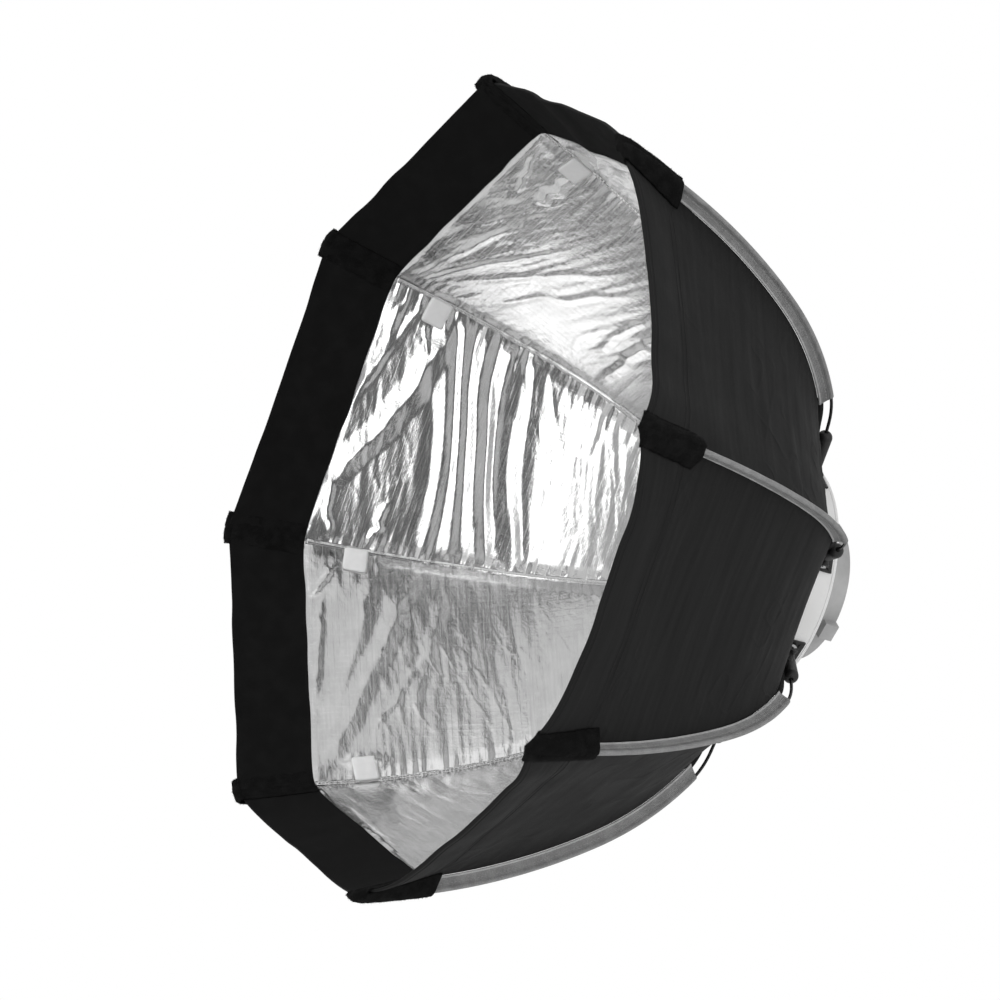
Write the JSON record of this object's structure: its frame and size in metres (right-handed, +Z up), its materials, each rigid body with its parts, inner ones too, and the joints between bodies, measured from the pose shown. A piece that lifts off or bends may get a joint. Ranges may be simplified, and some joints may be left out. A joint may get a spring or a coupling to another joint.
{
  "type": "octabox",
  "caption": "Folding octagonal softbox: silver-lined fabric on spring rods hinged to a white speed ring, with a turning bayonet adapter behind.",
  "frame": {"origin": "on the axis, at the rear face of the adapter's flange", "axes": "+Y along the axis towards the lamp, the open front faces -Y, +Z up with a corner of the octagon at the top"},
  "size_m": [0.6544, 0.3569, 0.6544],
  "materials": {
    "cast_aluminium": "fine sand-cast, matt",
    "zinc_steel": "zinc plated",
    "white_ring": "white powder coat, satin",
    "black_steel": "black paint on sheet steel",
    "black_nylon": "moulded, slightly glossy",
    "grey_webbing": "woven tape with piped edges",
    "spring_rod": "black coated spring steel",
    "hook_loop": "brushed loop pile",
    "lined_fabric": "black polyester outside, crinkled metallic silver lining inside"
  },
  "bodies": {
    "adapter": {"mount_adapter": "cast_aluminium", "retaining_ring": "cast_aluminium", "retaining_screws": "zinc_steel"},
    "ring": {"speed_ring": "white_ring", "hinge_brackets": "black_steel", "bracket_rivets": "black_steel", "hinge_pins": "zinc_steel"},
    "rib_1": {"rod_holder_1": "black_nylon", "rod_1": "spring_rod", "rod_sleeve_1": "grey_webbing", "corner_strap_1": "hook_loop"},
    "rib_2": {"rod_holder_2": "black_nylon", "rod_2": "spring_rod", "rod_sleeve_2": "grey_webbing", "corner_strap_2": "hook_loop"},
    "rib_3": {"rod_holder_3": "black_nylon", "rod_3": "spring_rod", "rod_sleeve_3": "grey_webbing", "corner_strap_3": "hook_loop"},
    "rib_4": {"rod_holder_4": "black_nylon", "rod_4": "spring_rod", "rod_sleeve_4": "grey_webbing", "corner_strap_4": "hook_loop"},
    "rib_5": {"rod_holder_5": "black_nylon", "rod_5": "spring_rod", "rod_sleeve_5": "grey_webbing", "corner_strap_5": "hook_loop"},
    "rib_6": {"rod_holder_6": "black_nylon", "rod_6": "spring_rod", "rod_sleeve_6": "grey_webbing", "corner_strap_6": "hook_loop"},
    "rib_7": {"rod_holder_7": "black_nylon", "rod_7": "spring_rod", "rod_sleeve_7": "grey_webbing", "corner_strap_7": "hook_loop"},
    "rib_8": {"rod_holder_8": "black_nylon", "rod_8": "spring_rod", "rod_sleeve_8": "grey_webbing", "corner_strap_8": "hook_loop"},
    "panel_1a": {"gore_1a": "lined_fabric"},
    "panel_1b": {"gore_1b": "lined_fabric"},
    "panel_2a": {"gore_2a": "lined_fabric"},
    "panel_2b": {"gore_2b": "lined_fabric"},
    "panel_3a": {"gore_3a": "lined_fabric"},
    "panel_3b": {"gore_3b": "lined_fabric"},
    "panel_4a": {"gore_4a": "lined_fabric"},
    "panel_4b": {"gore_4b": "lined_fabric"},
    "panel_5a": {"gore_5a": "lined_fabric"},
    "panel_5b": {"gore_5b": "lined_fabric"},
    "panel_6a": {"gore_6a": "lined_fabric"},
    "panel_6b": {"gore_6b": "lined_fabric"},
    "panel_7a": {"gore_7a": "lined_fabric"},
    "panel_7b": {"gore_7b": "lined_fabric"},
    "panel_8a": {"gore_8a": "lined_fabric"},
    "panel_8b": {"gore_8b": "lined_fabric"}
  },
  "joints": [
    {"name": "ring_turn", "type": "hinge", "parent": "adapter", "child": "ring", "pos_m": [0, -0.0075, 0], "axis": [0, 1, 0], "continuous": true},
    {"name": "fold_1", "type": "hinge", "parent": "ring", "child": "rib_1", "pos_m": [0, -0.023, 0.1035], "axis": [1, 0, 0], "range_deg": [0, 30]},
    {"name": "fold_2", "type": "hinge", "parent": "ring", "child": "rib_2", "pos_m": [0.07319, -0.023, 0.07319], "axis": [0.7071, 0, -0.7071], "range_deg": [0, 30]},
    {"name": "fold_3", "type": "hinge", "parent": "ring", "child": "rib_3", "pos_m": [0.1035, -0.023, 0], "axis": [0, 0, -1], "range_deg": [0, 30]},
    {"name": "fold_4", "type": "hinge", "parent": "ring", "child": "rib_4", "pos_m": [0.07319, -0.023, -0.07319], "axis": [-0.7071, 0, -0.7071], "range_deg": [0, 30]},
    {"name": "fold_5", "type": "hinge", "parent": "ring", "child": "rib_5", "pos_m": [0, -0.023, -0.1035], "axis": [-1, 0, 0], "range_deg": [0, 30]},
    {"name": "fold_6", "type": "hinge", "parent": "ring", "child": "rib_6", "pos_m": [-0.07319, -0.023, -0.07319], "axis": [-0.7071, 0, 0.7071], "range_deg": [0, 30]},
    {"name": "fold_7", "type": "hinge", "parent": "ring", "child": "rib_7", "pos_m": [-0.1035, -0.023, 0], "axis": [0, 0, 1], "range_deg": [0, 30]},
    {"name": "fold_8", "type": "hinge", "parent": "ring", "child": "rib_8", "pos_m": [-0.07319, -0.023, 0.07319], "axis": [0.7071, 0, 0.7071], "range_deg": [0, 30]},
    {"name": "pleat_1a", "type": "hinge", "parent": "rib_1", "child": "panel_1a", "pos_m": [0, -0.032, 0.11294], "axis": [0, -0.8615, 0.5077], "range_deg": [0, 60], "deforming": ["gore_1a"]},
    {"name": "pleat_1b", "type": "hinge", "parent": "rib_1", "child": "panel_1b", "pos_m": [0, -0.032, 0.11294], "axis": [0, 0.8615, -0.5077], "range_deg": [0, 60], "deforming": ["gore_1b"]},
    {"name": "pleat_2a", "type": "hinge", "parent": "rib_2", "child": "panel_2a", "pos_m": [0.07986, -0.032, 0.07986], "axis": [0.359, -0.8615, 0.359], "range_deg": [0, 60], "deforming": ["gore_2a"]},
    {"name": "pleat_2b", "type": "hinge", "parent": "rib_2", "child": "panel_2b", "pos_m": [0.07986, -0.032, 0.07986], "axis": [-0.359, 0.8615, -0.359], "range_deg": [0, 60], "deforming": ["gore_2b"]},
    {"name": "pleat_3a", "type": "hinge", "parent": "rib_3", "child": "panel_3a", "pos_m": [0.11294, -0.032, 0], "axis": [0.5077, -0.8615, 0], "range_deg": [0, 60], "deforming": ["gore_3a"]},
    {"name": "pleat_3b", "type": "hinge", "parent": "rib_3", "child": "panel_3b", "pos_m": [0.11294, -0.032, 0], "axis": [-0.5077, 0.8615, 0], "range_deg": [0, 60], "deforming": ["gore_3b"]},
    {"name": "pleat_4a", "type": "hinge", "parent": "rib_4", "child": "panel_4a", "pos_m": [0.07986, -0.032, -0.07986], "axis": [0.359, -0.8615, -0.359], "range_deg": [0, 60], "deforming": ["gore_4a"]},
    {"name": "pleat_4b", "type": "hinge", "parent": "rib_4", "child": "panel_4b", "pos_m": [0.07986, -0.032, -0.07986], "axis": [-0.359, 0.8615, 0.359], "range_deg": [0, 60], "deforming": ["gore_4b"]},
    {"name": "pleat_5a", "type": "hinge", "parent": "rib_5", "child": "panel_5a", "pos_m": [0, -0.032, -0.11294], "axis": [0, -0.8615, -0.5077], "range_deg": [0, 60], "deforming": ["gore_5a"]},
    {"name": "pleat_5b", "type": "hinge", "parent": "rib_5", "child": "panel_5b", "pos_m": [0, -0.032, -0.11294], "axis": [0, 0.8615, 0.5077], "range_deg": [0, 60], "deforming": ["gore_5b"]},
    {"name": "pleat_6a", "type": "hinge", "parent": "rib_6", "child": "panel_6a", "pos_m": [-0.07986, -0.032, -0.07986], "axis": [-0.359, -0.8615, -0.359], "range_deg": [0, 60], "deforming": ["gore_6a"]},
    {"name": "pleat_6b", "type": "hinge", "parent": "rib_6", "child": "panel_6b", "pos_m": [-0.07986, -0.032, -0.07986], "axis": [0.359, 0.8615, 0.359], "range_deg": [0, 60], "deforming": ["gore_6b"]},
    {"name": "pleat_7a", "type": "hinge", "parent": "rib_7", "child": "panel_7a", "pos_m": [-0.11294, -0.032, 0], "axis": [-0.5077, -0.8615, 0], "range_deg": [0, 60], "deforming": ["gore_7a"]},
    {"name": "pleat_7b", "type": "hinge", "parent": "rib_7", "child": "panel_7b", "pos_m": [-0.11294, -0.032, 0], "axis": [0.5077, 0.8615, 0], "range_deg": [0, 60], "deforming": ["gore_7b"]},
    {"name": "pleat_8a", "type": "hinge", "parent": "rib_8", "child": "panel_8a", "pos_m": [-0.07986, -0.032, 0.07986], "axis": [-0.359, -0.8615, 0.359], "range_deg": [0, 60], "deforming": ["gore_8a"]},
    {"name": "pleat_8b", "type": "hinge", "parent": "rib_8", "child": "panel_8b", "pos_m": [-0.07986, -0.032, 0.07986], "axis": [0.359, 0.8615, -0.359], "range_deg": [0, 60], "deforming": ["gore_8b"]}
  ],
  "couplings": [
    {"joint": "fold_2", "follows": "fold_1", "ratio": 1},
    {"joint": "fold_3", "follows": "fold_1", "ratio": 1},
    {"joint": "fold_4", "follows": "fold_1", "ratio": 1},
    {"joint": "fold_5", "follows": "fold_1", "ratio": 1},
    {"joint": "fold_6", "follows": "fold_1", "ratio": 1},
    {"joint": "fold_7", "follows": "fold_1", "ratio": 1},
    {"joint": "fold_8", "follows": "fold_1", "ratio": 1},
    {"joint": "pleat_1a", "follows": "fold_1", "ratio": 2},
    {"joint": "pleat_1b", "follows": "fold_1", "ratio": 2},
    {"joint": "pleat_2a", "follows": "fold_1", "ratio": 2},
    {"joint": "pleat_2b", "follows": "fold_1", "ratio": 2},
    {"joint": "pleat_3a", "follows": "fold_1", "ratio": 2},
    {"joint": "pleat_3b", "follows": "fold_1", "ratio": 2},
    {"joint": "pleat_4a", "follows": "fold_1", "ratio": 2},
    {"joint": "pleat_4b", "follows": "fold_1", "ratio": 2},
    {"joint": "pleat_5a", "follows": "fold_1", "ratio": 2},
    {"joint": "pleat_5b", "follows": "fold_1", "ratio": 2},
    {"joint": "pleat_6a", "follows": "fold_1", "ratio": 2},
    {"joint": "pleat_6b", "follows": "fold_1", "ratio": 2},
    {"joint": "pleat_7a", "follows": "fold_1", "ratio": 2},
    {"joint": "pleat_7b", "follows": "fold_1", "ratio": 2},
    {"joint": "pleat_8a", "follows": "fold_1", "ratio": 2},
    {"joint": "pleat_8b", "follows": "fold_1", "ratio": 2}
  ]
}
